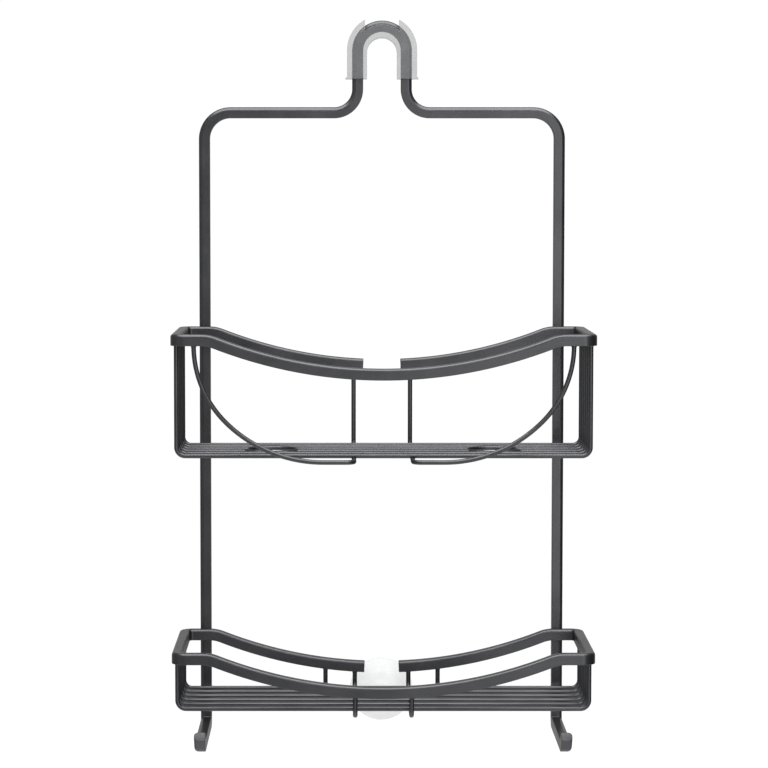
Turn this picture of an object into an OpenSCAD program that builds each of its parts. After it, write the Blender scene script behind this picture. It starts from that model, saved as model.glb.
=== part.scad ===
// Hanging shower caddy: a bent square-bar frame with two wire baskets,
// a soft sleeve over the hook and a suction cup behind the lower basket.
// Millimetres. +X right, +Y towards the wall, +Z up.
// The origin is the middle of the pipe that the hook hangs on.

/* [Frame] */
// Side of the square bar that the frame is bent from
bar = 8; // [7.6:0.1:8.4]
// Radius on the bar's outer edges, which are the top ones on the shoulders
bar_edge = 3; // [2.2:0.1:3.4]
// Radius on the inner edges of the bar and the lower edges of the rims
sharp_edge = 0.4; // [0.3:0.1:0.8]
// Distance between the centre lines of the two side rods
rod_spacing = 257.2; // [254:0.2:259]
// Radius of the hook's arch, on the bar's centre line
hook_radius = 17.6; // [17.2:0.1:18]
// Radius where the hook's legs turn out into the shoulders
neck_radius = 17; // [14:0.5:20]
// Radius of the shoulders' outer corners
shoulder_radius = 19; // [14:0.5:24]
// Drop from the pipe to the centre of the shoulder bars
shoulder_drop = 43; // [40:0.5:50]
// Drop from the pipe to the underside of the lower arms
total_drop = 492.6; // [489:0.1:510]
// Distance from the rods' centre line to where the arm's tip turns up
arm_reach = 91; // [80:0.5:95]
// Radius of the two tight bends in each arm, on the centre line
arm_bend = 4.6; // [4.4:0.1:5.5]
// Straight length of the tip beyond its bend
tip_length = 8; // [6:0.1:9]

/* [Hook sleeve] */
// Inside radius of the sleeve, where the pipe sits
pipe_seat = 10.8; // [10.4:0.1:11]
// Length of the sleeve along the pipe
sleeve_length = 16; // [14:1:20]
// Thickness of the sleeve's outer wall
sleeve_wall = 3.7; // [3:0.1:4.5]
// How far the sleeve's legs reach below the pipe's centre
sleeve_drop = 18.9; // [16:0.1:22]
// Width of the gap in the outer wall over the arch
sleeve_gap = 24.6; // [18:0.2:30]

/* [Baskets] */
// Height of the flat bar that each basket's rim is made from
rail_h = 8; // [7.6:0.1:8.4]
// Thickness of that bar
rail_t = 7.5; // [7.2:0.1:7.8]
// Radius on the upper edges of the rim bar
rail_edge = 2; // [1.4:0.1:2.4]
// Overall width of each basket
basket_w = 294.6; // [293:0.2:298]
// Distance from the rods' centre line to the middle of the front rail
basket_reach = 114.7; // [112:0.1:118]
// Radius of the rim's corners, on its centre line
rim_corner = 6; // [5.4:0.1:7]
// How far the front and back rails dip in the middle
dip = 23.7; // [20:0.1:25]
// Radius of the wide curve in the dip
dip_radius = 320; // [310:5:340]
// Radius of the small curve that leads into the dip
lead_radius = 25; // [20:1:28]
// Top of the upper rim, below the pipe
upper_top = 197.5; // [195:0.5:205]
// Top of the lower rim, below the pipe
lower_top = 418.8; // [416:0.2:425]
// Gap in the upper back rail
upper_gap = 27; // [20:1:30]
// Gap in the lower back rail
lower_gap = 25; // [20:1:30]

/* [Wires] */
// Diameter of the basket wires
wire = 3.3; // [3:0.1:3.5]
// Spacing of the six floor wires
wire_pitch = 16.33; // [16:0.01:16.6]
// Drop from the upper rim's top to the upper floor wires
upper_depth = 85.25; // [80:0.25:90]
// Drop from the lower rim's top to the lower floor wires
lower_depth = 41.45; // [40:0.05:46]
// Radius of the wires' bends, on the centre line
wire_bend = 6; // [5:0.25:7]
// Radius of the round openings that hold bottles upside down
bottle_r = 19; // [18:0.25:19.5]
// Distance of those openings from the middle
bottle_x = 78.5; // [74:0.5:82]
// Distance of the upper support wires from the middle, at the back
upper_support_x = 20.5; // [19:0.5:24]
// Distance of the lower support wires from the middle
lower_support_x = 19.6; // [19:0.1:22]
// Distance of the short back wires from the middle
back_wire_x = 41; // [36:1:50]

/* [Suction cup] */
// Diameter of the suction cup
cup_d = 46.4; // [40:0.1:48]
// Diameter of the cup's knob
knob_d = 9.7; // [8.6:0.1:11]
// Diameter of the neck between the knob and the cup
neck_d = 6.2; // [5:0.1:7]

/* [Hidden] */
charcoal = [0.24, 0.24, 0.25];
clear_soft = [0.82, 0.84, 0.86];
weld = 0.02;                      // how far welded pieces bite into each other
hb = bar / 2;
rod_x = rod_spacing / 2;
arch_z = 1.7;                     // centre of the arch, above the pipe's centre
arm_z = -total_drop + hb;         // centre line of the lower arms
tip_turn = 53.1301;               // the tips rise 4 for every 3 along
rear_y = -(hb + rail_t / 2) + weld;
rim_x = basket_w / 2 - rail_t / 2;
rim_flat = rim_x - rim_corner;    // where the rim's corner bend starts
// the dip's wide curve and lead curve meet at dip_ang, and the flat starts at dip_x
dip_ang = mil(acos(1 - dip / (dip_radius + lead_radius)));
dip_x = mil((dip_radius + lead_radius) * sin(dip_ang));
lead_r = dip_x / sin(dip_ang) - dip_radius;
fall = (dip_radius + lead_r) * (1 - cos(dip_ang));
mid_y = (rear_y - basket_reach) / 2;
wr = wire / 2;
upper_z = -upper_top - rail_h / 2;      // centre line of the upper rim's flats
lower_z = -lower_top - rail_h / 2;
upper_floor = -upper_top - upper_depth; // centre line of the upper floor wires
lower_floor = -lower_top - lower_depth;
wire_x = rim_x + 0.2;             // where the floor wires' ends stand
front_drop_x = rim_x - 12.6;      // where the upper support wires start
curve_flat_x = 42;                // and where their front run gets level
cup_z = lower_floor - 5.05;       // height of the suction cup's axis

// ---- sections, drawn with the path running out of the page ----
// A bar w by h with edges of radius r on its +X side and sharp ones opposite.
module edged(w, h, r) {
  soft = w / 2 - r;
  sharp = w / 2 - sharp_edge;
  translate([-sharp, -h / 2]) square([soft + sharp, h]);
  translate([0, r - h / 2]) square([w / 2, h - 2 * r]);
  translate([-w / 2, sharp_edge - h / 2]) square([w / 2, h - 2 * sharp_edge]);
  for (j = [-1, 1]) {
    translate([soft, j * (h / 2 - r)]) circle(r = r, $fn = 24);
    translate([-sharp, j * (h / 2 - sharp_edge)]) circle(r = sharp_edge, $fn = 24);
  }
}
// turn is the direction of the rounded side, anticlockwise from the first axis.
module bar_section(turn = 0) { rotate([0, 0, turn]) edged(bar, bar, bar_edge); }
module rim_section() { rotate([0, 0, 90]) edged(rail_h, rail_t, rail_edge); }
module rim_on_side(turn = 0) { rotate([0, 0, turn]) edged(rail_h, rail_t, rail_edge); }
module wire_section() { circle(r = wr, $fn = 20); }

// Moves its children by v, keeping more digits than one translate() can.
module at(v) {
  c = [for (k = v) round(k * 1000) / 1000];
  translate(c) translate(v - c) children();
}
function mil(k) = round(k * 1000) / 1000;

// ---- straight runs of the current section ----
module run_z(z0, z1) { translate([0, 0, z0]) linear_extrude(z1 - z0) children(); }
module run_x(x0, x1) {
  translate([x0, 0, 0]) rotate([90, 0, 90]) linear_extrude(x1 - x0) children();
}
module run_y(y0, y1) {
  translate([0, y1, 0]) rotate([90, 0, 0]) linear_extrude(y1 - y0) children();
}
// A bend of radius r from a0, a multiple of 90 degrees, to a1. The section's
// first axis points away from the bend's centre.
module bend(r, a0, a1, n) {
  rotate([0, 0, a0]) mirror([0, a1 < a0 ? 1 : 0, 0])
    rotate_extrude(angle = abs(a1 - a0), $fn = n) at([r, 0]) children();
}
// A bend in the XZ plane round [cx, cz]: 0 degrees is +X and 90 is +Z.
module bend_xz(cx, cz, r, a0, a1, n = 48) {
  at([cx, 0, cz]) rotate([90, 0, 0]) bend(r, a0, a1, n) children();
}
// A bend in the YZ plane round [cy, cz]: 0 degrees is +Y and 90 is +Z.
module bend_yz(cy, cz, r, a0, a1, n = 48) {
  at([0, cy, cz]) rotate([90, 0, 90]) bend(r, a0, a1, n) children();
}
// A bend in the XY plane round [cx, cy]: 0 degrees is +X and 90 is +Y.
module bend_xy(cx, cy, r, a0, a1, n = 48) {
  at([cx, cy, 0]) bend(r, a0, a1, n) children();
}
module both() { children(); mirror([1, 0, 0]) children(); }

// ---- frame ----
module frame_side() {
  leg_end = -shoulder_drop + neck_radius;
  bend_xz(0, arch_z, hook_radius, 0, 90, 96) bar_section();
  translate([hook_radius, 0, 0]) run_z(leg_end, arch_z) bar_section();
  bend_xz(hook_radius + neck_radius, leg_end, neck_radius, 180, 270, 96)
    bar_section(180);
  translate([0, 0, -shoulder_drop])
    run_x(hook_radius + neck_radius, rod_x - shoulder_radius) bar_section(90);
  bend_xz(rod_x - shoulder_radius, -shoulder_drop - shoulder_radius,
          shoulder_radius, 0, 90, 96) bar_section();
  translate([rod_x, 0, 0])
    run_z(arm_z + arm_bend, -shoulder_drop - shoulder_radius) bar_section();
  translate([rod_x, 0, 0]) arm();
}
// One arm: a tight bend at the foot of the rod, a level run and a turned-up tip.
module arm() {
  bend_z = arm_z + arm_bend;
  bend_yz(-arm_bend, bend_z, arm_bend, -90, 0) bar_section(90);
  translate([0, 0, arm_z]) run_y(-arm_reach, -arm_bend) bar_section();
  bend_yz(-arm_reach, bend_z, arm_bend, 270, 270 - tip_turn) bar_section(90);
  at([0, -arm_reach - arm_bend * sin(tip_turn), bend_z - arm_bend * cos(tip_turn)])
    rotate([90 - tip_turn, 0, 0]) linear_extrude(tip_length) bar_section();
}
module frame_rod() { color(charcoal) both() frame_side(); }

// ---- sleeve ----
module arch_outline(r, cz, drop) {
  intersection() {
    union() {
      translate([0, cz]) circle(r = r, $fn = 96);
      translate([-r, -drop]) square([2 * r, drop + cz]);
    }
    translate([-r - 1, -drop]) square([2 * r + 2, drop + cz + r + 1]);
  }
}
module hook_sleeve() {
  out_r = hook_radius + hb + sleeve_wall;
  lip = 1.4;                           // how far the lips at the legs' ends stand out
  lip_h = 1.6;
  color(clear_soft) difference() {
    union() {
      rotate([90, 0, 0]) translate([0, 0, -sleeve_length / 2])
        linear_extrude(sleeve_length) difference() {
          arch_outline(out_r, arch_z, sleeve_drop);
          arch_outline(pipe_seat, 0, sleeve_drop + 1);
        }
      both() translate([out_r - 1, -sleeve_length / 2, -sleeve_drop])
        cube([1 + lip, sleeve_length, lip_h]);
    }
    // the hole that the bar runs through
    both() {
      bend_xz(0, arch_z, hook_radius, 0, 90, 96) bar_section();
      translate([hook_radius, 0, 0]) run_z(-sleeve_drop - 1, arch_z) bar_section();
    }
    // the gap in the outer wall over the arch
    rotate([90, 0, 0]) translate([0, 0, -sleeve_length])
      linear_extrude(2 * sleeve_length) difference() {
        translate([-sleeve_gap / 2, arch_z]) square([sleeve_gap, 2 * out_r]);
        translate([0, arch_z]) circle(r = hook_radius + hb - bar_edge, $fn = 96);
      }
  }
}

// ---- basket rims ----
// One half of a dipped rail, from the corner bend to the middle.
module rail_half() {
  run_x(dip_x, rim_flat) rim_section();
  bend_xz(dip_x, -lead_r, lead_r, 90, 90 + dip_ang, 96) rim_on_side();
  bend_xz(0, dip_radius - fall, dip_radius, 270, 270 + dip_ang, 360)
    rim_on_side(180);
}
module rim_half(gap) {
  translate([0, rear_y, 0]) difference() {
    rail_half();
    translate([-1, -10, -fall - 10]) cube([1 + gap / 2, 20, 20]);
  }
  translate([0, -basket_reach, 0]) rail_half();
  bend_xy(rim_flat, rear_y - rim_corner, rim_corner, 0, 90) rim_section();
  translate([rim_x, 0, 0])
    run_y(-basket_reach + rim_corner, rear_y - rim_corner) rim_section();
  bend_xy(rim_flat, -basket_reach + rim_corner, rim_corner, 270, 360) rim_section();
}
module upper_rail() {
  color(charcoal) translate([0, 0, upper_z]) both() rim_half(upper_gap);
}
module lower_rail() {
  color(charcoal) translate([0, 0, lower_z]) both() rim_half(lower_gap);
}

// ---- floor wires ----
// End of a floor wire: the bend up and the upright, top end at height h.
module wire_end(h) {
  bend_xz(wire_x - wire_bend, wire_bend, wire_bend, 270, 360) wire_section();
  translate([wire_x, 0, 0]) run_z(wire_bend, h) wire_section();
}
module plain_wire(h) {
  both() {
    run_x(0, wire_x - wire_bend) wire_section();
    wire_end(h);
  }
}
// A floor wire that bows round half of each bottle opening. s is the side.
module bowed_wire(h, s) {
  o = wire_pitch / 2;                    // wire's distance from the centre
  a = mil(acos((o + 5) / (bottle_r + 5)));   // where bow and lead curve meet
  half = mil((bottle_r + 5) * sin(a));
  lead = half / sin(a) * cos(a) - o;     // radius that leads into the bow
  bow = half / sin(a) - lead;
  both() {
    run_x(0, bottle_x - half) wire_section();
    translate([bottle_x, -s * o, 0])
      for (m = [0, 1]) mirror([m, 0, 0]) mirror([0, s > 0 ? 0 : 1, 0]) {
        bend_xy(half, o + lead, lead, 270, 270 - a, 48) wire_section();
        bend_xy(0, 0, bow, 90, 90 - a, 96) wire_section();
      }
    run_x(bottle_x + half, wire_x - wire_bend) wire_section();
    wire_end(h);
  }
}
function wire_y(i) = mid_y + (i - 3.5) * wire_pitch;  // 1 is the front wire
module upper_wire(i) {
  h = upper_depth - rail_h + weld;
  color(charcoal) translate([0, wire_y(i), upper_floor])
    if (i == 3) bowed_wire(h, -1); else if (i == 4) bowed_wire(h, 1);
    else plain_wire(h);
}
module lower_wire(i) {
  color(charcoal) translate([0, wire_y(i), lower_floor])
    plain_wire(lower_depth - rail_h + weld);
}

// ---- support wires ----
// Cuts a wire off at the underside of the dipped part of a rim at height z.
module trim_to_rim(z) {
  difference() {
    children();
    translate([0, 1, z + dip_radius - fall]) rotate([90, 0, 0])
      cylinder(r = dip_radius + rail_h / 2 - weld, h = basket_reach + 40, $fn = 720);
  }
}
// An upper support wire: down from the rim in a long curve that tightens near
// the bottom, along to the middle, back under the floor and up to the back rail.
curve_turn = 45;                       // slope where the curve tightens
curve_fall = -upper_top - rail_h - (upper_floor - wire + weld);
curve_run = front_drop_x - curve_flat_x;
curve_r1 = (curve_fall * sin(curve_turn) - curve_run * (1 - cos(curve_turn)))
  / (cos(curve_turn) * sin(curve_turn)
     - (1 - cos(curve_turn)) * (1 - sin(curve_turn)));
curve_r2 = (curve_run - curve_r1 * (1 - sin(curve_turn))) / sin(curve_turn);
module upper_support() {
  low = upper_floor - wire + weld;
  rim = -upper_top - rail_h;
  translate([0, -basket_reach, 0]) {
    translate([front_drop_x, 0, 0]) run_z(rim, rim + weld) wire_section();
    bend_xz(front_drop_x - curve_r1, rim, curve_r1, 0, curve_turn - 90, 120)
      wire_section();
    bend_xz(curve_flat_x, low + curve_r2, curve_r2, 270, 270 + curve_turn, 120)
      wire_section();
    translate([0, 0, low]) run_x(upper_support_x + wire_bend, curve_flat_x)
      wire_section();
  }
  translate([0, 0, low])
    bend_xy(upper_support_x + wire_bend, -basket_reach + wire_bend, wire_bend,
            180, 270) wire_section();
  translate([upper_support_x, 0, low])
    run_y(-basket_reach + wire_bend, rear_y - wire_bend) wire_section();
  trim_to_rim(upper_z) rear_upright(upper_support_x, low, upper_z);
}
// Bend at the back and the upright to the back rail's underside.
module rear_upright(x, low, rim_z) {
  translate([x, 0, 0]) {
    bend_yz(rear_y - wire_bend, low + wire_bend, wire_bend, 270, 360) wire_section();
    translate([0, rear_y, 0]) run_z(low + wire_bend, rim_z - 5) wire_section();
  }
}
module lower_support() {
  low = lower_floor - wire + weld;
  trim_to_rim(lower_z) {
    rear_upright(lower_support_x, low, lower_z);
    translate([lower_support_x, 0, 0]) {
      run_y_at(low, -basket_reach + wire_bend, rear_y - wire_bend);
      bend_yz(-basket_reach + wire_bend, low + wire_bend, wire_bend, 180, 270)
        wire_section();
      translate([0, -basket_reach, 0]) run_z(low + wire_bend, lower_z - 5)
        wire_section();
    }
  }
}
module run_y_at(z, y0, y1) {
  translate([0, 0, z]) run_y(y0, y1) wire_section();
}
module lower_back() {
  low = lower_floor - wire + weld;
  trim_to_rim(lower_z) {
    rear_upright(back_wire_x, low, lower_z);
    translate([back_wire_x, 0, 0])
      run_y_at(low, wire_y(5) - 4, rear_y - wire_bend);
  }
}

// ---- suction cup and its bracket ----
// The bracket is a strip between the lower support wires' back bends. Its open
// slot holds the cup's neck.
strip_y = rear_y - 2.6;             // middle of the strip's thickness
strip_t = 2;
strip_h = 8;
strip_top = cup_z + 3.3;
slot_clearance = 0.05;
module cup_bracket() {
  half = lower_support_x - wr + weld;
  slot_r = neck_d / 2 + slot_clearance;
  color(charcoal) translate([0, strip_y + strip_t / 2, 0]) rotate([90, 0, 0])
    linear_extrude(strip_t) difference() {
      translate([-half, strip_top - strip_h]) square([2 * half, strip_h]);
      translate([0, cup_z]) circle(r = slot_r, $fn = 60);
      translate([-slot_r, cup_z]) square([2 * slot_r, strip_h]);
    }
}
// Half of the cup's section, turned round its axis. The first axis is the
// distance from the axis and the second is +Y.
module suction_cup() {
  front = strip_y - strip_t / 2 - slot_clearance;   // back of the knob
  back = strip_y + strip_t / 2 + slot_clearance;    // front of the cup's boss
  knob_r = knob_d / 2;
  knob_t = 3.2;                        // thickness of the knob
  knob_edge = 1;                       // radius of its front edge
  knob_y = front - knob_t + knob_edge; // where that edge ends
  bite = 1;                            // how far the neck runs into both ends
  boss_r = 7.5;
  boss_y = rear_y + wr + 0.6;          // where the boss meets the cup
  rim_y = hb + 2;                      // the cup's face on the wall
  rim_r = cup_d / 2;
  rim_t = 1;                           // thickness at the cup's edge
  rim_w = 1.2;                         // width of the ring that meets the wall
  hollow = 3.2;                        // depth of the cup's hollow
  hollow_r = 4;                        // radius of the hollow's flat bottom
  color(clear_soft) translate([0, 0, cup_z]) rotate([-90, 0, 0])
    rotate_extrude($fn = 96) difference() {
      union() {
        translate([0, front - knob_t]) square([knob_r - knob_edge, knob_t]);
        translate([0, knob_y]) square([knob_r, front - knob_y]);
        translate([knob_r - knob_edge, knob_y]) circle(r = knob_edge, $fn = 24);
        translate([0, front - bite]) square([neck_d / 2, back - front + 2 * bite]);
        translate([0, back]) square([boss_r, boss_y - back + bite]);
        polygon([[0, boss_y], [boss_r + 1, boss_y], [rim_r, rim_y - rim_t],
                 [rim_r, rim_y], [0, rim_y]]);
      }
      polygon([[-1, rim_y - hollow], [hollow_r, rim_y - hollow], [rim_r - rim_w, rim_y],
               [rim_r - rim_w, rim_y + 1], [-1, rim_y + 1]]);
    }
}

frame_rod();
hook_sleeve();
upper_rail();
upper_wire(1);  // upper_floor_wire_1
upper_wire(2);  // upper_floor_wire_2
upper_wire(3);  // upper_floor_wire_3
upper_wire(4);  // upper_floor_wire_4
upper_wire(5);  // upper_floor_wire_5
upper_wire(6);  // upper_floor_wire_6
color(charcoal) mirror([1, 0, 0]) upper_support();  // upper_support_wire_left
color(charcoal) upper_support();  // upper_support_wire_right
lower_rail();
lower_wire(1);  // lower_floor_wire_1
lower_wire(2);  // lower_floor_wire_2
lower_wire(3);  // lower_floor_wire_3
lower_wire(4);  // lower_floor_wire_4
lower_wire(5);  // lower_floor_wire_5
lower_wire(6);  // lower_floor_wire_6
color(charcoal) mirror([1, 0, 0]) lower_support();  // lower_support_wire_left
color(charcoal) lower_support();  // lower_support_wire_right
color(charcoal) mirror([1, 0, 0]) lower_back();  // lower_back_wire_left
color(charcoal) lower_back();  // lower_back_wire_right
cup_bracket();
suction_cup();
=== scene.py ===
import math
import random

import bpy
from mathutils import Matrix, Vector


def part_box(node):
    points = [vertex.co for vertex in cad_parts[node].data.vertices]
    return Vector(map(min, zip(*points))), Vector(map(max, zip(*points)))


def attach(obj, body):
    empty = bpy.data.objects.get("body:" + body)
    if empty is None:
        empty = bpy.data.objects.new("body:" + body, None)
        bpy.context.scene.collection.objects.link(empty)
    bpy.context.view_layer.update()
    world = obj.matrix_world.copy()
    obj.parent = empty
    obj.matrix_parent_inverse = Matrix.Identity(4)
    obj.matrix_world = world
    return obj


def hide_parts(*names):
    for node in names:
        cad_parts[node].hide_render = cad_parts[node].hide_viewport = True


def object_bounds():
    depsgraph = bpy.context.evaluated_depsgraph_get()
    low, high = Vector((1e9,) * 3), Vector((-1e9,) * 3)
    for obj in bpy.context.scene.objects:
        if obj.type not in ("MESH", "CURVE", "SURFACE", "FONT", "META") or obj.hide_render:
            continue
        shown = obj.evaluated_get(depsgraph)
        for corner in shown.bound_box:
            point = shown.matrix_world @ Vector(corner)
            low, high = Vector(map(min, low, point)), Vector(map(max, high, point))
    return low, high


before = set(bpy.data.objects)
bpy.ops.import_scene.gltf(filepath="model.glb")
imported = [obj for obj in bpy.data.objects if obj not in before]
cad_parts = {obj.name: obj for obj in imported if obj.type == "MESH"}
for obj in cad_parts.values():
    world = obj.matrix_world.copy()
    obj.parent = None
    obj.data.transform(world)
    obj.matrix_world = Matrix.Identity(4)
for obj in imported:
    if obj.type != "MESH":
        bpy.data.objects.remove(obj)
CAD_LO, CAD_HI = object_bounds()

MM = 0.001
CHARCOAL = "charcoal_aluminium"
SLEEVE = "sleeve_vinyl"
CUP = "cup_vinyl"
X = Vector((1, 0, 0))
Y = Vector((0, 1, 0))
Z = Vector((0, 0, 1))


# ---------------------------------------------------------------- sizes
# These follow part.scad. What the CAD boxes can give is read from them instead.
FRAME_LO, FRAME_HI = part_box("frame_rod")
BAR = 2 * FRAME_HI.y
HALF_BAR = BAR / 2
BAR_EDGE = 3 * MM
SHARP_EDGE = 0.4 * MM
ROD_X = FRAME_HI.x - HALF_BAR
HOOK_R = 17.6 * MM
NECK_R = 17 * MM
SHOULDER_R = 19 * MM
SHOULDER_Z = -43 * MM
ARM_BEND = 4.6 * MM
ARCH_Z = FRAME_HI.z - HALF_BAR - HOOK_R
ARM_Z = FRAME_LO.z + HALF_BAR
ARM_REACH = 91 * MM
TIP_LENGTH = 8 * MM
TIP_SLOPE = Vector((0, -0.6, 0.8))  # the tips rise 4 for every 3 along

RIM_H = 8 * MM
RIM_T = 7.5 * MM
RIM_EDGE = 2 * MM
RIM_CORNER = 6 * MM
DIP_R = 320 * MM
LEAD_R = 25 * MM
DIP = 23.7 * MM
DIP_ANGLE = math.acos(1 - DIP / (DIP_R + LEAD_R))
DIP_X = (DIP_R + LEAD_R) * math.sin(DIP_ANGLE)
GAPS = {"upper": 27 * MM, "lower": 25 * MM}

WIRES = range(1, 7)
WIRE_BEND = 6 * MM
WIRE_SIDES = 20
CUT = ("cut",)
CUT_EDGE = 0.5 * MM  # radius round the edge of a cut end
BOTTLE_R = 19 * MM
BOTTLE_LEAD = 5 * MM
BOTTLE_X = 78.5 * MM
SUPPORT_FLAT_X = 42 * MM  # where the upper supports' front run gets level
SUPPORT_SLOPE = math.radians(45)
BITE = 0.02 * MM  # how far welded pieces run into each other
WELD_TO_FLAT = 0.3 * MM  # how far a wire's end is buried in a level rail
WELD_TO_DIP = 0.4 * MM  # and in a dipped one
WELD_TO_STEEP = 0.5 * MM  # and in one where the dip is steeper
FLARE = 1.5 * MM  # length over which a wire widens towards its weld
# how far back from the weld, as a share of that length, and how much wider there
FLARE_STEPS = ((1.0, 1.0), (0.6, 1.05), (0.32, 1.16), (0.14, 1.32), (0.0, 1.56))
FLARE_TILT = 0.6
FLARE_BURIED = 1.5
CHORD_GAP = 0.012 * MM  # most that a bend's straight steps leave its curve by
MAX_STEP = math.radians(5)
SAME_PLACE = 1e-6
UV_PER_METRE = 100


class Basket:
    """The places that one basket's pieces share, worked out from its CAD boxes."""

    def __init__(self, which):
        self.which = which
        lo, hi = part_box(which + "_rail")
        self.rim_z = hi.z - RIM_H / 2
        self.rim_x = hi.x - RIM_T / 2
        self.rear_y = hi.y - RIM_T / 2
        self.front_y = lo.y + RIM_T / 2
        self.under = hi.z - RIM_H
        self.wires = [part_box("%s_floor_wire_%d" % (which, i)) for i in WIRES]
        self.wire_r = wire_radius()
        self.floor_z = self.wires[0][0].z + self.wire_r
        self.wire_x = self.wires[0][1].x - self.wire_r
        self.low_z = self.floor_z - 2 * self.wire_r + BITE

    def wire_y(self, i):
        """Wires 3 and 4 may be bowed, so each place is spaced from the two end wires."""
        first = (self.wires[0][0].y + self.wires[0][1].y) / 2
        last = (self.wires[5][0].y + self.wires[5][1].y) / 2
        return first + (last - first) * (i - 1) / 5

    def rail_centre(self, x):
        """Height of the dipped rails' centre line at x."""
        return self.rim_z - DIP + DIP_R - math.sqrt(DIP_R ** 2 - x ** 2)


def wire_radius():
    """All the wires have the radius of this straight one."""
    lo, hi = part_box("lower_floor_wire_1")
    return (hi.y - lo.y) / 2


# ---------------------------------------------------------------- sweeps
def edged_section(w, h, edge, n=7):
    """Points round a bar with rounded edges on its first side and sharp ones opposite."""
    points = []
    for k, (sx, sy) in enumerate(((1, 1), (-1, 1), (-1, -1), (1, -1))):
        r = edge if sx > 0 else SHARP_EDGE
        for j in range(n + 1):
            a = math.radians(90 * k + 90 * j / n)
            c, s = math.cos(a), math.sin(a)
            points.append((sx * (w / 2 - r) + r * c, sy * (h / 2 - r) + r * s, c, s))
    return points


def round_section(r, n=WIRE_SIDES):
    points = []
    for j in range(n):
        a = 2 * math.pi * j / n
        points.append((r * math.cos(a), r * math.sin(a), math.cos(a), math.sin(a)))
    return points


def fillet_path(corners, radii):
    """Points and directions along a line through the corners, bent at each by its radius."""
    corners = [Vector(c) for c in corners]
    first = (corners[1] - corners[0]).normalized()
    out = [(corners[0], first)]
    for i in range(1, len(corners) - 1):
        r = radii[i - 1]
        d1 = (corners[i] - corners[i - 1]).normalized()
        d2 = (corners[i + 1] - corners[i]).normalized()
        turn = d1.angle(d2)
        toward = (d2 - d1 * math.cos(turn)).normalized()
        start = corners[i] - d1 * r * math.tan(turn / 2)
        centre = start + toward * r
        step = min(MAX_STEP, 2 * math.acos(1 - CHORD_GAP / r))
        n = max(2, math.ceil(turn / step))
        for k in range(n + 1):
            a = turn * k / n
            place = centre + d1 * r * math.sin(a) - toward * r * math.cos(a)
            out.append((place, d1 * math.cos(a) + toward * math.sin(a)))
    out.append((corners[-1], (corners[-1] - corners[-2]).normalized()))
    kept = [out[0]]
    for p in out[1:]:
        if (p[0] - kept[-1][0]).length > SAME_PLACE:
            kept.append(p)
    return kept


def frames_along(path, normal):
    """Turns the normal with the path, so that a section keeps its side up."""
    frames = []
    n = Vector(normal)
    before = path[0][1]
    for place, t in path:
        n = before.rotation_difference(t) @ n
        n = (n - t * n.dot(t)).normalized()
        frames.append((place, t, n, t.cross(n)))
        before = t
    return frames


def ring(place, n, b, section, grow=1.0, tilt=None):
    """The section's points and normals at a place, with its own sides along n and b."""
    verts = []
    for a, c, na, nc in section:
        normal = n * na + b * nc
        if tilt is not None:
            normal = normal + tilt
        verts.append((place + n * a * grow + b * c * grow, normal.normalized()))
    return verts


def end_rings(f, out, section, edge, steps=5):
    """Rings that round the end of a swept bar off, from its side to its flat end."""
    place, t, n, b = f
    wide = max(p[0] for p in section)
    tall = max(p[1] for p in section)
    rings = []
    for k in range(steps + 1):
        a = math.pi / 2 * k / steps
        s, c = math.sin(a), math.cos(a)
        at = place - out * edge * (1 - s)
        ka = 1 - edge * (1 - c) / wide
        kb = 1 - edge * (1 - c) / tall
        verts = []
        for pa, pb, na, nb in section:
            normal = (n * na + b * nb) * c + out * s
            verts.append((at + n * pa * ka + b * pb * kb, normal.normalized()))
        rings.append(verts)
    return rings


def flare_rings(f, out, section, bury):
    """A wire's end as it runs into a weld: it widens towards the bar that it meets."""
    place, t, n, b = f
    rings = []
    for back, grow in FLARE_STEPS:
        at = place - out * FLARE * back
        rings.append(ring(at, n, b, section, grow, out * -FLARE_TILT * (grow - 1)))
    rings.append(ring(place + out * bury, n, b, section, FLARE_BURIED))
    return rings


def build_mesh(name, rings):
    """A closed tube from rings of (place, normal), with smooth normals and a length map."""
    count = len(rings[0])
    verts = [v for r in rings for v, _ in r]
    normals = [q for r in rings for _, q in r]
    faces = []
    uvs = []
    along = [0.0]
    for i in range(1, len(rings)):
        mid0 = sum((v for v, _ in rings[i - 1]), Vector()) / count
        mid1 = sum((v for v, _ in rings[i]), Vector()) / count
        along.append(along[-1] + (mid1 - mid0).length)
    around = [0.0]
    for j in range(count):
        step = (rings[0][(j + 1) % count][0] - rings[0][j][0]).length
        around.append(around[-1] + step)
    for i in range(len(rings) - 1):
        for j in range(count):
            k = (j + 1) % count
            a, b = i * count, (i + 1) * count
            faces.append((a + j, a + k, b + k, b + j))
            uvs += [
                (along[i], around[j]),
                (along[i], around[j + 1]),
                (along[i + 1], around[j + 1]),
                (along[i + 1], around[j]),
            ]
    last = (len(rings) - 1) * count
    faces.append(tuple(range(count - 1, -1, -1)))
    uvs += [(rings[0][j][0].x, rings[0][j][0].z) for j in range(count - 1, -1, -1)]
    faces.append(tuple(range(last, last + count)))
    uvs += [(rings[-1][j][0].x, rings[-1][j][0].z) for j in range(count)]
    mesh = bpy.data.meshes.new(name)
    mesh.from_pydata([tuple(v) for v in verts], [], faces)
    layer = mesh.uv_layers.new(name="length")
    for loop, uv in zip(layer.data, uvs):
        loop.uv = (uv[0] * UV_PER_METRE, uv[1] * UV_PER_METRE)
    mesh.polygons.foreach_set("use_smooth", [True] * len(mesh.polygons))
    mesh.normals_split_custom_set_from_vertices([tuple(q) for q in normals])
    mesh.update()
    return mesh


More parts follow.
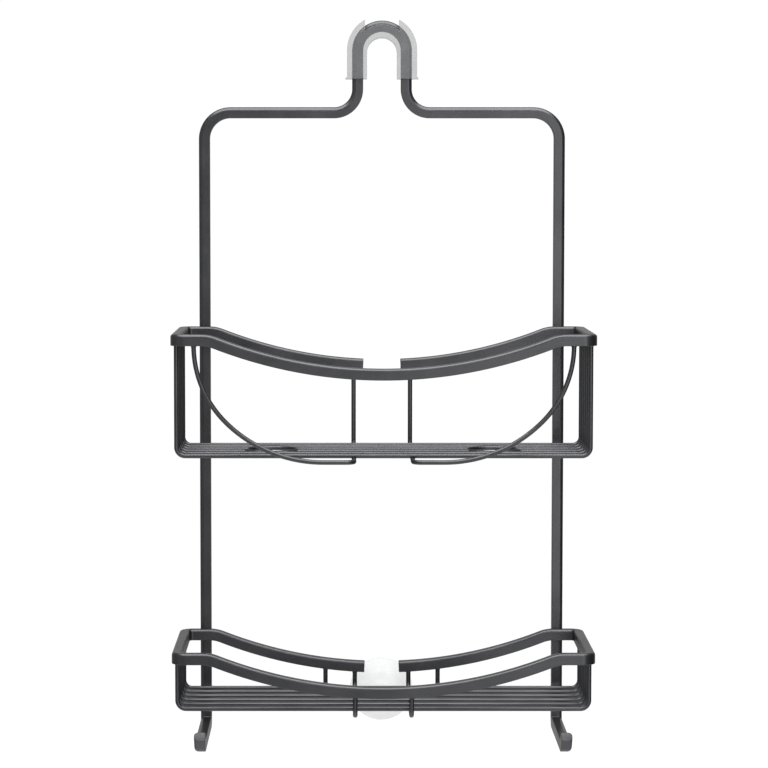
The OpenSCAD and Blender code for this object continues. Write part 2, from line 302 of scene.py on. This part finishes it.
def sweep(name, corners, radii, section, normal, ends):
    """A bar or wire bent along a path. Each end is CUT or ("weld", how far it is buried)."""
    frames = frames_along(fillet_path(corners, radii), normal)
    rings = []
    for which, f, out in ((0, frames[0], -frames[0][1]), (1, frames[-1], frames[-1][1])):
        kind = ends[which]
        if kind == CUT:
            made = end_rings(f, out, section, CUT_EDGE)
        else:
            made = flare_rings(f, out, section, kind[1])
        if which == 0:
            rings += made[::-1]
            rings += [ring(g[0], g[2], g[3], section) for g in frames[1:-1]]
        else:
            rings += made
    return place_object(name, build_mesh(name, rings))


def place_object(name, data):
    obj = bpy.data.objects.new(name, data)
    bpy.context.scene.collection.objects.link(obj)
    return obj


def mirrored(corners):
    return [(-c[0], c[1], c[2]) for c in corners]


# ---------------------------------------------------------------- materials
FLOW_MARK = 0.03  # how much the vinyl's flow marks change its colour and cover
VINYL_IOR = 1.46


def new_material(name):
    """A material with its node tree and its main shader."""
    m = bpy.data.materials.new(name)
    m.use_nodes = True
    tree = m.node_tree
    return m, tree, tree.nodes["Principled BSDF"]


def add(tree, kind, **values):
    node = tree.nodes.new(kind)
    for k, v in values.items():
        setattr(node, k, v)
    return node


def noise(tree, vector, scale, detail, rough=0.55):
    node = add(tree, "ShaderNodeTexNoise")
    node.inputs["Scale"].default_value = scale
    node.inputs["Detail"].default_value = detail
    node.inputs["Roughness"].default_value = rough
    tree.links.new(vector, node.inputs["Vector"])
    return node.outputs["Fac"]


def spread(tree, value, low, high):
    """Maps a noise's usual range, about 0.3 to 0.7, onto low to high."""
    node = add(tree, "ShaderNodeMapRange")
    node.inputs["From Min"].default_value = 0.3
    node.inputs["From Max"].default_value = 0.7
    node.inputs["To Min"].default_value = low
    node.inputs["To Max"].default_value = high
    tree.links.new(value, node.inputs["Value"])
    return node.outputs["Result"]


def plus(tree, a, b):
    node = add(tree, "ShaderNodeMath", operation="ADD")
    tree.links.new(a, node.inputs[0])
    tree.links.new(b, node.inputs[1])
    return node.outputs["Value"]


def bump(tree, height, distance, strength, before=None):
    node = add(tree, "ShaderNodeBump")
    node.inputs["Distance"].default_value = distance
    node.inputs["Strength"].default_value = strength
    tree.links.new(height, node.inputs["Height"])
    if before is not None:
        tree.links.new(before, node.inputs["Normal"])
    return node.outputs["Normal"]


def colour_between(tree, value, low, high):
    ramp = add(tree, "ShaderNodeValToRGB")
    ramp.color_ramp.elements[0].position = 0.32
    ramp.color_ramp.elements[0].color = (*low, 1)
    ramp.color_ramp.elements[1].position = 0.68
    ramp.color_ramp.elements[1].color = (*high, 1)
    tree.links.new(value, ramp.inputs["Fac"])
    return ramp.outputs["Color"]


# each noise is in the object's own coordinates, apart from the streaks along a bar
def charcoal_metal(name="charcoal_metal", rough=0.32, streaks=True):
    """Satin anodised aluminium: fine blasted grain, faint drawing lines, soft patches."""
    m, tree, bsdf = new_material(name)
    coord = add(tree, "ShaderNodeTexCoord")
    grain = noise(tree, coord.outputs["Object"], 2600, 3)
    patch = noise(tree, coord.outputs["Object"], 38, 3)
    colour = colour_between(tree, patch, (0.074, 0.075, 0.080), (0.094, 0.094, 0.099))
    tree.links.new(colour, bsdf.inputs["Base Color"])
    roughness = plus(
        tree,
        spread(tree, grain, rough - 0.03, rough + 0.05),
        spread(tree, patch, -0.03, 0.03),
    )
    normal = bump(tree, grain, 0.00003, 0.35)
    if streaks:
        stretch = add(tree, "ShaderNodeMapping")
        stretch.inputs["Scale"].default_value = (0.6, 22, 1)
        tree.links.new(coord.outputs["UV"], stretch.inputs["Vector"])
        line = noise(tree, stretch.outputs["Vector"], 1.0, 3)
        roughness = plus(tree, roughness, spread(tree, line, -0.035, 0.035))
        normal = bump(tree, line, 0.00002, 0.3, normal)
    tree.links.new(roughness, bsdf.inputs["Roughness"])
    tree.links.new(normal, bsdf.inputs["Normal"])
    bsdf.inputs["Metallic"].default_value = 0.9
    return m


def clear_vinyl(name, colour, body, rough):
    """Soft clear plastic: hazy, with faint flow marks and a fine skin. Body is the share of
    what lies behind a surface that its haze covers."""
    m, tree, bsdf = new_material(name)
    coord = add(tree, "ShaderNodeTexCoord")
    flow = noise(tree, coord.outputs["Object"], 90, 2)
    skin = noise(tree, coord.outputs["Object"], 900, 2)
    low = tuple(c - FLOW_MARK for c in colour)
    tree.links.new(colour_between(tree, flow, low, colour), bsdf.inputs["Base Color"])
    roughness = plus(
        tree,
        spread(tree, flow, rough - 0.04, rough + 0.04),
        spread(tree, skin, -0.02, 0.02),
    )
    tree.links.new(roughness, bsdf.inputs["Roughness"])
    normal = bump(tree, flow, 0.00025, 0.25)
    normal = bump(tree, skin, 0.00003, 0.2, normal)
    tree.links.new(normal, bsdf.inputs["Normal"])
    bsdf.inputs["IOR"].default_value = VINYL_IOR
    cover = spread(tree, flow, body - FLOW_MARK, body + FLOW_MARK)
    tree.links.new(cover, bsdf.inputs["Alpha"])
    return m


METAL = charcoal_metal()
WELD = charcoal_metal("charcoal_weld", 0.42, streaks=False)
SLEEVE_VINYL = clear_vinyl("sleeve_vinyl_look", (0.36, 0.365, 0.37), 0.38, 0.24)
CUP_VINYL = clear_vinyl("cup_vinyl_look", (0.86, 0.87, 0.88), 0.19, 0.14)


def finish_piece(obj, material, body, slot, *nodes):
    obj.data.materials.append(material)
    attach(obj, body)
    if nodes:
        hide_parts(*nodes)


def metal_piece(obj, *nodes):
    finish_piece(obj, METAL, "caddy", CHARCOAL, *nodes)


# ---------------------------------------------------------------- frame
def make_frame():
    """One bar, from the left tip over the hook to the right one."""
    leg_z = ARCH_Z + HOOK_R
    turn = math.acos(-TIP_SLOPE.y)
    tangent = ARM_BEND * math.tan(turn / 2)
    corner = Vector((-ROD_X, -ARM_REACH - tangent, ARM_Z))
    left = [
        tuple(corner + TIP_SLOPE * (tangent + TIP_LENGTH)),
        tuple(corner),
        (-ROD_X, 0, ARM_Z),
        (-ROD_X, 0, SHOULDER_Z),
        (-HOOK_R, 0, SHOULDER_Z),
        (-HOOK_R, 0, leg_z),
    ]
    bends = [ARM_BEND, ARM_BEND, SHOULDER_R, NECK_R, HOOK_R]
    section = edged_section(BAR, BAR, BAR_EDGE)
    bar = sweep(
        "frame_bar",
        left + mirrored(left)[::-1],
        bends + bends[::-1],
        section,
        -X,
        (CUT, CUT),
    )
    metal_piece(bar, "frame_rod")


# ---------------------------------------------------------------- baskets
def make_rim(b):
    """One bar, from the gap in the back rail round by the front to the gap again."""
    half_gap = GAPS[b.which] / 2
    angle = math.asin(half_gap / DIP_R)
    direction = Vector((-math.cos(angle), 0, math.sin(angle)))
    start = Vector((-half_gap, b.rear_y, b.rail_centre(half_gap)))
    second = start + direction * DIP_R * math.tan((DIP_ANGLE - angle) / 2)
    lead = DIP_X - LEAD_R * math.tan(DIP_ANGLE / 2)
    wide = DIP_R * math.tan(DIP_ANGLE / 2)
    left = [
        tuple(start),
        tuple(second),
        (-lead, b.rear_y, b.rim_z),
        (-b.rim_x, b.rear_y, b.rim_z),
        (-b.rim_x, b.front_y, b.rim_z),
        (-lead, b.front_y, b.rim_z),
        (-wide, b.front_y, b.rim_z - DIP),
    ]
    bends = [DIP_R, LEAD_R, RIM_CORNER, RIM_CORNER, LEAD_R, DIP_R]
    rim = sweep(
        b.which + "_rim",
        left + mirrored(left)[::-1],
        bends + bends[::-1],
        edged_section(RIM_H, RIM_T, RIM_EDGE),
        Z,
        (CUT, CUT),
    )
    metal_piece(rim, b.which + "_rail")


def bow(y, way):
    """Corners and radii of a wire's bow round a bottle opening, left to right."""
    offset = abs(y[0] - y[1])
    turn = math.acos((offset + BOTTLE_LEAD) / (BOTTLE_R + BOTTLE_LEAD))
    half = (BOTTLE_R + BOTTLE_LEAD) * math.sin(turn)
    side = half - BOTTLE_LEAD * math.tan(turn / 2)
    peak = y[1] + way * BOTTLE_R / math.cos(turn)
    return side, peak, [BOTTLE_LEAD, BOTTLE_R, BOTTLE_LEAD]


def make_floor_wires(b):
    section = round_section(b.wire_r)
    for i in WIRES:
        y = b.wire_y(i)
        middle = []
        radii = []
        if b.which == "upper" and i in (3, 4):
            way = -1 if i == 3 else 1
            centre = (b.wire_y(3) + b.wire_y(4)) / 2
            side, peak, bends = bow((y, centre), way)
            for x in (-BOTTLE_X, BOTTLE_X):
                middle += [
                    (x - side, y, b.floor_z),
                    (x, peak, b.floor_z),
                    (x + side, y, b.floor_z),
                ]
                radii += bends
        corners = [
            (-b.wire_x, y, b.under),
            (-b.wire_x, y, b.floor_z),
            *middle,
            (b.wire_x, y, b.floor_z),
            (b.wire_x, y, b.under),
        ]
        wire = sweep(
            "%s_wire_%d" % (b.which, i),
            corners,
            [WIRE_BEND, *radii, WIRE_BEND],
            section,
            X,
            (("weld", WELD_TO_FLAT), ("weld", WELD_TO_FLAT)),
        )
        metal_piece(wire, "%s_floor_wire_%d" % (b.which, i))


def side_pair(name, corners, radii, section, normal, ends, node):
    """A wire on the right and its mirror image on the left."""
    other = Vector((-normal.x, normal.y, normal.z))
    for side, path, n in (("right", corners, normal), ("left", mirrored(corners), other)):
        wire = sweep("%s_%s" % (name, side), path, radii, section, n, ends)
        metal_piece(wire, "%s_%s" % (node, side))


def make_upper_supports(b):
    """Each comes down in a long curve, whose two radii follow from its fall and run."""
    lo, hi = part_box("upper_support_wire_right")
    drop_x = hi.x - b.wire_r
    back_x = lo.x + b.wire_r
    fall = b.under - b.low_z
    run = drop_x - SUPPORT_FLAT_X
    s, c = math.sin(SUPPORT_SLOPE), math.cos(SUPPORT_SLOPE)
    r1 = (fall * s - run * (1 - c)) / (c * s - (1 - c) * (1 - s))
    r2 = (run - r1 * (1 - s)) / s
    half = math.tan(SUPPORT_SLOPE / 2)
    corners = [
        (drop_x, b.front_y, b.under),
        (drop_x, b.front_y, b.under - r1 * half),
        (SUPPORT_FLAT_X + r2 * half, b.front_y, b.low_z),
        (back_x, b.front_y, b.low_z),
        (back_x, b.rear_y, b.low_z),
        (back_x, b.rear_y, b.rail_centre(back_x) - RIM_H / 2),
    ]
    side_pair(
        "upper_support",
        corners,
        [r1, r2, WIRE_BEND, WIRE_BEND],
        round_section(b.wire_r),
        X,
        (("weld", WELD_TO_FLAT), ("weld", WELD_TO_DIP)),
        "upper_support_wire",
    )
    return back_x


def make_lower_supports(b):
    lo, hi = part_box("lower_support_wire_right")
    x = (lo.x + hi.x) / 2
    top = b.rail_centre(x) - RIM_H / 2
    corners = [
        (x, b.front_y, top),
        (x, b.front_y, b.low_z),
        (x, b.rear_y, b.low_z),
        (x, b.rear_y, top),
    ]
    side_pair(
        "lower_support",
        corners,
        [WIRE_BEND, WIRE_BEND],
        round_section(b.wire_r),
        X,
        (("weld", WELD_TO_DIP), ("weld", WELD_TO_DIP)),
        "lower_support_wire",
    )
    lo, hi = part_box("lower_back_wire_right")
    back_x = (lo.x + hi.x) / 2
    corners = [
        (back_x, lo.y, b.low_z),
        (back_x, b.rear_y, b.low_z),
        (back_x, b.rear_y, b.rail_centre(back_x) - RIM_H / 2),
    ]
    side_pair(
        "lower_back",
        corners,
        [WIRE_BEND],
        round_section(b.wire_r),
        X,
        (CUT, ("weld", WELD_TO_STEEP)),
        "lower_back_wire",
    )
    return x, back_x


# ---------------------------------------------------------------- welds
NUGGET = (1.5 * MM, 1.5 * MM, 0.8 * MM)  # half sizes of the lump where two wires cross
UNEVEN = 0.07  # how much a weld's width varies
NUGGET_SEED = 7
BEAD_R = 1.15 * MM
BEAD_LENGTH = 6.4 * MM
BEAD_FROM_ROD = 2.9 * MM  # distance from the rod's centre line, to either side
BEAD_SUNK = 0.1 * MM
BEAD_RIPPLE = 44


def nugget(place, size, chance):
    """A small uneven lump of weld, as points and faces."""
    verts = []
    faces = []
    rows, columns = 7, 12
    for i in range(rows + 1):
        a = math.pi * i / rows
        for j in range(columns):
            t = 2 * math.pi * j / columns
            wobble = 1 + UNEVEN * chance.uniform(-1, 1)
            flat = math.sin(a) ** 0.8
            verts.append(
                (
                    place[0] + size[0] * wobble * flat * math.cos(t),
                    place[1] + size[1] * wobble * flat * math.sin(t),
                    place[2] + size[2] * math.cos(a),
                )
            )
    for i in range(rows):
        for j in range(columns):
            k = (j + 1) % columns
            a, b = i * columns, (i + 1) * columns
            faces.append((a + j, b + j, b + k, a + k))
    return verts, faces


def make_nuggets(name, places):
    chance = random.Random(NUGGET_SEED)
    verts = []
    faces = []
    for place in places:
        v, f = nugget(place, NUGGET, chance)
        base = len(verts)
        verts += v
        faces += [tuple(base + q for q in face) for face in f]
    mesh = bpy.data.meshes.new(name)
    mesh.from_pydata(verts, [], faces)
    mesh.polygons.foreach_set("use_smooth", [True] * len(mesh.polygons))
    mesh.update()
    finish_piece(place_object(name, mesh), WELD, "caddy", CHARCOAL)


def make_crossing_welds(b, support_x, back_x=None):
    """Lumps under the floor. The short back wires reach only the last two floor wires."""
    z = b.floor_z - b.wire_r
    places = []
    for x, wires in ((support_x, WIRES), (back_x, (5, 6))):
        if x is not None:
            for i in wires:
                places += [(x, b.wire_y(i), z), (-x, b.wire_y(i), z)]
    make_nuggets(b.which + "_crossing_welds", places)


def make_rod_welds(b):
    """Beads in the crevices where the back rail stands against the two rods."""
    y = b.rear_y + RIM_T / 2 - BEAD_SUNK
    section = round_section(BEAD_R, 14)
    rows = 26
    for side, sx in (("left", -1), ("right", 1)):
        for edge, ex in (("inner", -1), ("outer", 1)):
            x = sx * (ROD_X + ex * BEAD_FROM_ROD)
            rings = []
            for k in range(rows + 1):
                t = k / rows
                z = b.rim_z + (t - 0.5) * BEAD_LENGTH
                ripple = 1 + UNEVEN * math.sin(t * BEAD_RIPPLE)
                grow = ripple * max(0.05, math.sin(math.pi * t)) ** 0.35
                rings.append(ring(Vector((x, y, z)), X, Y, section, grow))
            name = "%s_rod_weld_%s_%s" % (b.which, side, edge)
            bead = place_object(name, build_mesh(name, rings))
            finish_piece(bead, WELD, "caddy", CHARCOAL)


# ---------------------------------------------------------------- sleeve
PIPE_SEAT = 10.8 * MM  # radius of the seat
SLEEVE_WALL = 3.7 * MM
SLEEVE_GAP = 24.6 * MM  # width of the opening over the arch
SLEEVE_SOFT = 0.45 * MM


def arc_points(cx, cz, r, a0, a1, n):
    points = []
    for k in range(n + 1):
        a = math.radians(a0 + (a1 - a0) * k / n)
        points.append((cx + r * math.cos(a), cz + r * math.sin(a)))
    return points


def prism(name, outline, y0, y1, edge):
    """An outline in XZ drawn out along Y, with its edges softened."""
    n = len(outline)
    verts = [(x, y0, z) for x, z in outline] + [(x, y1, z) for x, z in outline]
    faces = [tuple(range(n)), tuple(range(2 * n - 1, n - 1, -1))]
    for k in range(n):
        j = (k + 1) % n
        faces.append((k, k + n, j + n, j))
    mesh = bpy.data.meshes.new(name)
    mesh.from_pydata(verts, [], faces)
    mesh.polygons.foreach_set("use_smooth", [True] * len(mesh.polygons))
    mesh.update()
    obj = place_object(name, mesh)
    soften = obj.modifiers.new("soften", "BEVEL")
    soften.width = edge
    soften.segments = 3
    soften.limit_method = "ANGLE"
    soften.angle_limit = math.radians(30)
    soften.harden_normals = True
    return obj


def make_sleeve():
    """Open over the arch, where the bar shows, and seated on the pipe from below."""
    lo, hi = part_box("hook_sleeve")
    lip_x = hi.x
    out_r = HOOK_R + HALF_BAR + SLEEVE_WALL
    seat_r = PIPE_SEAT
    crown_r = HOOK_R + HALF_BAR - BAR_EDGE
    half_gap = SLEEVE_GAP / 2
    lip_h = 2.0 * MM
    tip_a = math.degrees(math.acos(half_gap / out_r))
    crown_a = math.degrees(math.acos(half_gap / crown_r))
    right = [(seat_r, lo.z), (lip_x, lo.z), (out_r, lo.z + lip_h)]
    right += arc_points(0, ARCH_Z, out_r, 0, tip_a, 24)
    crown = arc_points(0, ARCH_Z, crown_r, crown_a, 180 - crown_a, 28)
    left = [(-x, z) for x, z in right[::-1]]
    seat = arc_points(0, 0, seat_r, 180, 0, 40)
    outline = right + crown + left + seat
    sleeve = prism("vinyl_sleeve", outline, lo.y, hi.y, SLEEVE_SOFT)
    finish_piece(sleeve, SLEEVE_VINYL, "caddy", SLEEVE, "hook_sleeve")


# ---------------------------------------------------------------- cup
KNOB_R = 4.85 * MM
KNOB_EDGE = 1.0 * MM
CUP_NECK_R = 3.1 * MM
BOSS_R = 7.5 * MM
BOSS_LENGTH = 3.8 * MM
SLOT_CLEARANCE = 0.05 * MM
HOLLOW = 3.2 * MM  # depth of the hollow in the cup's back


def make_bracket():
    """A strip with an open slot, whose round bottom holds the cup's neck."""
    lo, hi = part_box("cup_bracket")
    clo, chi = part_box("suction_cup")
    axis_z = (clo.z + chi.z) / 2
    slot_r = CUP_NECK_R + SLOT_CLEARANCE
    outline = [(lo.x, lo.z), (hi.x, lo.z), (hi.x, hi.z), (slot_r, hi.z)]
    outline += arc_points(0, axis_z, slot_r, 0, -180, 24)
    outline += [(-slot_r, hi.z), (lo.x, hi.z)]
    strip = prism("bracket_strip", outline, lo.y, hi.y, 0.3 * MM)
    metal_piece(strip, "cup_bracket")


def smooth_line(points, steps):
    """Catmull-Rom points through a profile."""
    out = []
    for i in range(len(points) - 1):
        p0 = points[max(0, i - 1)]
        p1, p2 = points[i], points[i + 1]
        p3 = points[min(len(points) - 1, i + 2)]
        for k in range(steps):
            t = k / steps
            row = []
            for a, b, c, d in zip(p0, p1, p2, p3):
                row.append(
                    0.5 * (2 * b + (c - a) * t + (2 * a - 5 * b + 4 * c - d) * t * t
                           + (3 * b - a - 3 * c + d) * t ** 3)
                )
            out.append(tuple(row))
    out.append(points[-1])
    return out


def make_cup():
    """A profile of (radius, y) from the knob's middle to the hollow's, turned about Y."""
    lo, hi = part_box("suction_cup")
    slo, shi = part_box("cup_bracket")
    axis_z = (lo.z + hi.z) / 2
    rim_r = (hi.x - lo.x) / 2
    knob0, knob1 = lo.y, slo.y - SLOT_CLEARANCE
    boss0 = shi.y + SLOT_CLEARANCE
    boss1 = boss0 + BOSS_LENGTH
    e = KNOB_EDGE
    front = [(0, knob0), (KNOB_R - e, knob0)]
    front += [(KNOB_R - e + r, knob0 + e + q) for r, q in arc_points(0, 0, e, -90, 0, 6)][1:]
    front += [(KNOB_R, knob1 - 0.3 * MM), (KNOB_R - 0.3 * MM, knob1), (CUP_NECK_R, knob1)]
    front += [(CUP_NECK_R, boss0), (BOSS_R - 0.6 * MM, boss0), (BOSS_R, boss0 + 0.6 * MM)]
    dome = smooth_line(
        [
            (BOSS_R, boss1 - 0.8 * MM),
            (BOSS_R + 1.2 * MM, boss1 + 0.5 * MM),
            (rim_r * 0.62, boss1 + 2.6 * MM),
            (rim_r * 0.84, hi.y - 3.4 * MM),
            (rim_r * 0.97, hi.y - 0.9 * MM),
            (rim_r, hi.y - 0.3 * MM),
        ],
        6,
    )
    lip = [(rim_r - 0.15 * MM, hi.y), (rim_r - 0.7 * MM, hi.y)]
    hollow = smooth_line(
        [
            (rim_r - 1.3 * MM, hi.y - 0.3 * MM),
            (rim_r * 0.80, hi.y - 1.7 * MM),
            (rim_r * 0.5, hi.y - 2.9 * MM),
            (rim_r * 0.2, hi.y - HOLLOW),
            (0, hi.y - HOLLOW),
        ],
        6,
    )
    profile = front + dome + lip + hollow
    sides = 96
    verts = []
    faces = []
    for r, y in profile:
        for j in range(sides):
            a = 2 * math.pi * j / sides
            verts.append((r * math.cos(a), y, axis_z + r * math.sin(a)))
    for i in range(len(profile) - 1):
        for j in range(sides):
            k = (j + 1) % sides
            a, b = i * sides, (i + 1) * sides
            faces.append((a + j, b + j, b + k, a + k))
    mesh = bpy.data.meshes.new("vinyl_cup")
    mesh.from_pydata(verts, [], faces)
    mesh.validate()
    mesh.polygons.foreach_set("use_smooth", [True] * len(mesh.polygons))
    mesh.set_sharp_from_angle(angle=math.radians(50))
    mesh.update()
    cup = place_object("vinyl_cup", mesh)
    merge = cup.modifiers.new("merge", "WELD")
    merge.merge_threshold = 0.01 * MM
    finish_piece(cup, CUP_VINYL, "cup", CUP, "suction_cup")


# ---------------------------------------------------------------- stage
FLOOR_HALF = 6
FLOOR_DROP = 0.35  # how far under the object the floor lies
FLOOR_GLOW = 0.96
WORLD_BASE = 0.12  # light that comes from every side
# towards which side, how far round it starts, and how much it adds there
WORLD_GLOWS = (
    ((0, -1, 0), 0.1, 0.34),
    ((-0.9, -0.1, 0.1), 0.2, 0.30),
    ((0, 1, 0), 0.5, 0.5),
    ((0, 0, -1), 0.3, 1.35),
)
BACKDROP = 1.02  # what the camera and the clear vinyl see of the world
CAMERA_PLACE = (-0.0268, -2.0729, -0.0910)
CAMERA_DOWN = math.radians(4.11)  # how far it looks down from level
LENS = 133.6
SHIFT_X = 0.0509


def make_floor():
    """Pale by its own even glow, so that it has no edge against the world."""
    z = CAD_LO.z - FLOOR_DROP
    a = FLOOR_HALF
    mesh = bpy.data.meshes.new("floor")
    mesh.from_pydata([(-a, -a, z), (a, -a, z), (a, a, z), (-a, a, z)], [], [(0, 1, 2, 3)])
    floor = place_object("floor", mesh)
    m, tree, bsdf = new_material("pale_floor")
    bsdf.inputs["Base Color"].default_value = (0.15, 0.15, 0.15, 1)
    bsdf.inputs["Roughness"].default_value = 0.9
    bsdf.inputs["Emission Color"].default_value = (1, 1, 1, 1)
    bsdf.inputs["Emission Strength"].default_value = FLOOR_GLOW
    mesh.materials.append(m)
    floor.visible_glossy = False
    floor.visible_diffuse = False


def area_light(name, place, target, width, height, power):
    data = bpy.data.lights.new(name, "AREA")
    data.shape = "RECTANGLE"
    data.size = width
    data.size_y = height
    data.energy = power
    light = place_object(name, data)
    light.location = place
    aim = Vector(target) - Vector(place)
    light.rotation_euler = aim.to_track_quat("-Z", "Y").to_euler()
    light.visible_camera = False


def facing(tree, direction, towards, start, gain):
    """How far a world direction turns to face a side, from nothing at start to gain."""
    dot = add(tree, "ShaderNodeVectorMath", operation="DOT_PRODUCT")
    tree.links.new(direction, dot.inputs[0])
    dot.inputs[1].default_value = Vector(towards).normalized()
    node = add(tree, "ShaderNodeMapRange", interpolation_type="SMOOTHSTEP")
    node.inputs["From Min"].default_value = start
    node.inputs["From Max"].default_value = 1
    node.inputs["To Min"].default_value = 0
    node.inputs["To Max"].default_value = gain
    tree.links.new(dot.outputs["Value"], node.inputs["Value"])
    return node.outputs["Result"]


def make_world():
    """Soft light on the object, and plain white for the camera and through clear vinyl."""
    world = bpy.data.worlds.new("studio")
    bpy.context.scene.world = world
    world.use_nodes = True
    tree = world.node_tree
    tree.nodes.clear()
    coord = add(tree, "ShaderNodeTexCoord")
    direction = coord.outputs["Generated"]
    glow = facing(tree, direction, *WORLD_GLOWS[0])
    for side in WORLD_GLOWS[1:]:
        glow = plus(tree, glow, facing(tree, direction, *side))
    base = add(tree, "ShaderNodeMath", operation="ADD")
    base.inputs[1].default_value = WORLD_BASE
    tree.links.new(glow, base.inputs[0])
    dim = add(tree, "ShaderNodeBackground")
    tree.links.new(base.outputs["Value"], dim.inputs["Strength"])
    white = add(tree, "ShaderNodeBackground")
    white.inputs["Color"].default_value = (1, 1, 1, 1)
    white.inputs["Strength"].default_value = BACKDROP
    rays = add(tree, "ShaderNodeLightPath")
    seen = add(tree, "ShaderNodeMath", operation="MAXIMUM")
    tree.links.new(rays.outputs["Is Camera Ray"], seen.inputs[0])
    tree.links.new(rays.outputs["Is Transmission Ray"], seen.inputs[1])
    mix = add(tree, "ShaderNodeMixShader")
    tree.links.new(seen.outputs["Value"], mix.inputs["Fac"])
    tree.links.new(dim.outputs["Background"], mix.inputs[1])
    tree.links.new(white.outputs["Background"], mix.inputs[2])
    out = add(tree, "ShaderNodeOutputWorld")
    tree.links.new(mix.outputs["Shader"], out.inputs["Surface"])


def make_lights():
    """A wide one above for the top faces, and one at the front for the right sides."""
    area_light("overhead", (0, -0.6, 0.95), (0, -0.6, 0), 1.7, 1.8, 43)
    area_light("front_panel", (0.68, -2.05, -0.15), (0.68, 0, -0.15), 1.15, 1.6, 9.2)


def make_camera():
    data = bpy.data.cameras.new("camera")
    data.sensor_width = 36
    data.lens = LENS
    data.shift_x = SHIFT_X
    data.clip_end = 60
    camera = place_object("camera", data)
    camera.location = CAMERA_PLACE
    camera.rotation_euler = (math.pi / 2 - CAMERA_DOWN, 0, 0)
    bpy.context.scene.camera = camera


# ---------------------------------------------------------------- build
make_frame()
upper = Basket("upper")
lower = Basket("lower")
for basket in (upper, lower):
    make_rim(basket)
    make_floor_wires(basket)
    make_rod_welds(basket)
upper_x = make_upper_supports(upper)
lower_x, back_x = make_lower_supports(lower)
make_crossing_welds(upper, upper_x)
make_crossing_welds(lower, lower_x, back_x)
make_sleeve()
make_bracket()
make_cup()
make_floor()
make_world()
make_lights()
make_camera()
bpy.context.scene.view_settings.view_transform = "Standard"
